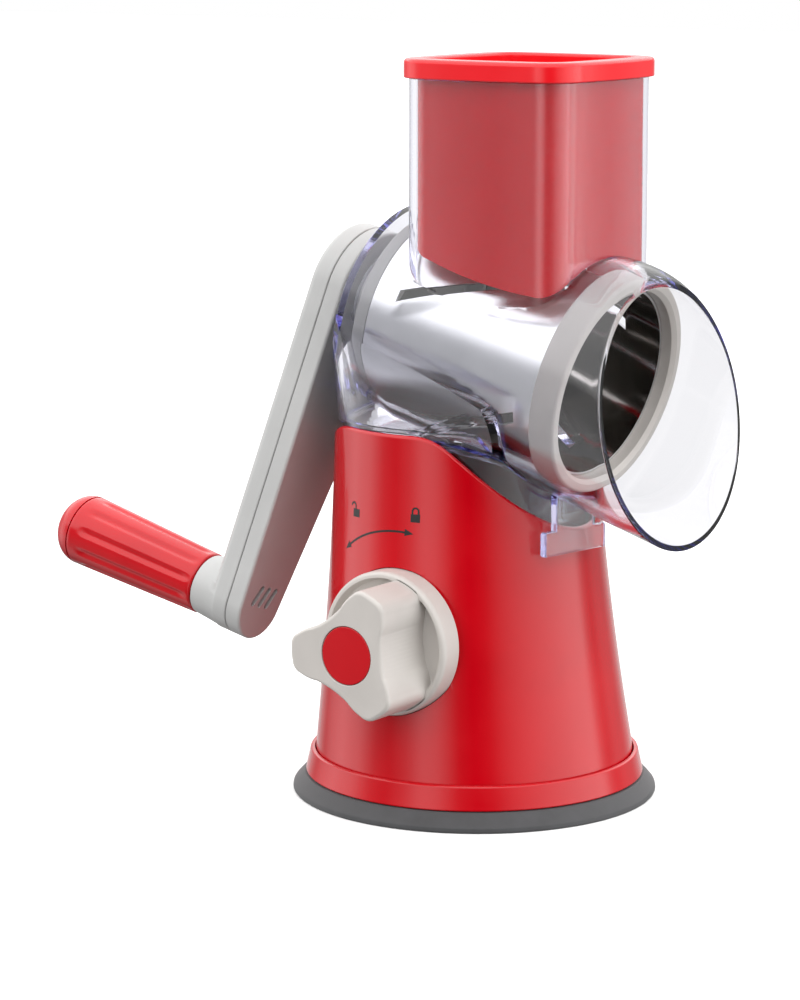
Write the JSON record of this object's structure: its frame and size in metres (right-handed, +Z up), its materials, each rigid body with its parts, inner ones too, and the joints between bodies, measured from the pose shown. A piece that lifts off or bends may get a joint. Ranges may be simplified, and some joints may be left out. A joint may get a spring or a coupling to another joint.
{
  "type": "rotary cheese grater",
  "caption": "Hand-cranked rotary cheese grater with a suction foot, a clear tilted drum housing with a square hopper, a slotted steel drum, a food pusher and a lock knob.",
  "frame": {"origin": "centre of the foot's flat underside", "axes": "+Z up along the hopper, -Y out of the food outlet, +Y to the crank, -X out through the lock knob"},
  "size_m": [0.1434, 0.2466, 0.26],
  "materials": {
    "red_abs": "gloss moulded ABS",
    "grey_abs": "satin moulded ABS",
    "black_rubber": "matt moulded rubber",
    "clear_plastic": "clear moulded styrene",
    "polished_steel": "polished stainless sheet",
    "zinc_steel": "zinc plated steel",
    "dark_acetal": "moulded acetal"
  },
  "bodies": {
    "base": {"suction_foot": "black_rubber", "base_ring": "red_abs", "body_shell": "red_abs", "floor_plate": "dark_acetal", "floor_screw_1": "zinc_steel", "floor_screw_2": "zinc_steel", "floor_screw_3": "zinc_steel", "return_spring": "zinc_steel"},
    "lifter": {"lift_plate": "zinc_steel", "lift_yoke": "dark_acetal"},
    "lock": {"cam_shaft": "dark_acetal", "shaft_clip": "zinc_steel", "lock_knob": "grey_abs", "knob_inlay": "red_abs", "knob_screw": "zinc_steel"},
    "housing": {"clear_housing": "clear_plastic"},
    "pusher": {"pusher": "red_abs"},
    "crank": {"crank_front_shell": "grey_abs", "crank_back_shell": "grey_abs", "snap_catch": "grey_abs", "crank_screw_1": "zinc_steel", "crank_screw_2": "zinc_steel", "grip_spindle": "zinc_steel", "grip_washer": "zinc_steel", "grip_screw": "zinc_steel"},
    "drum": {"drum_shell": "polished_steel", "drum_front_ring": "grey_abs", "drum_rear_hub": "grey_abs"},
    "grip": {"grip_sleeve": "red_abs", "grip_end_cap": "red_abs"}
  },
  "joints": [
    {"name": "lock_turn", "type": "hinge", "parent": "base", "child": "lock", "pos_m": [0, 0, 0.062], "axis": [1, 0, 0], "range_deg": [0, 90]},
    {"name": "suction_lift", "type": "slide", "parent": "base", "child": "lifter", "axis": [0, 0, 1], "range_m": [0, 0.00401], "deforming": ["return_spring"]},
    {"name": "housing_lift", "type": "slide", "parent": "base", "child": "housing", "axis": [0, 0, 1], "range_m": [0, 0.06]},
    {"name": "pusher_lift", "type": "slide", "parent": "housing", "child": "pusher", "axis": [0, 0, 1], "range_m": [0, 0.085]},
    {"name": "crank_turn", "type": "hinge", "parent": "housing", "child": "crank", "pos_m": [0, -0.0213, 0.1582], "axis": [0, 0.972, 0.2351], "continuous": true},
    {"name": "drum_draw", "type": "slide", "parent": "crank", "child": "drum", "axis": [0, -0.972, -0.2351], "range_m": [0, 0.16], "deforming": ["snap_catch"]},
    {"name": "grip_turn", "type": "hinge", "parent": "crank", "child": "grip", "pos_m": [-0.03485, 0.1027, 0.07092], "axis": [0, 0.972, 0.2351], "continuous": true}
  ],
  "couplings": [
    {"joint": "suction_lift", "follows": "lock_turn", "m_per_rad": 0.0025465}
  ]
}
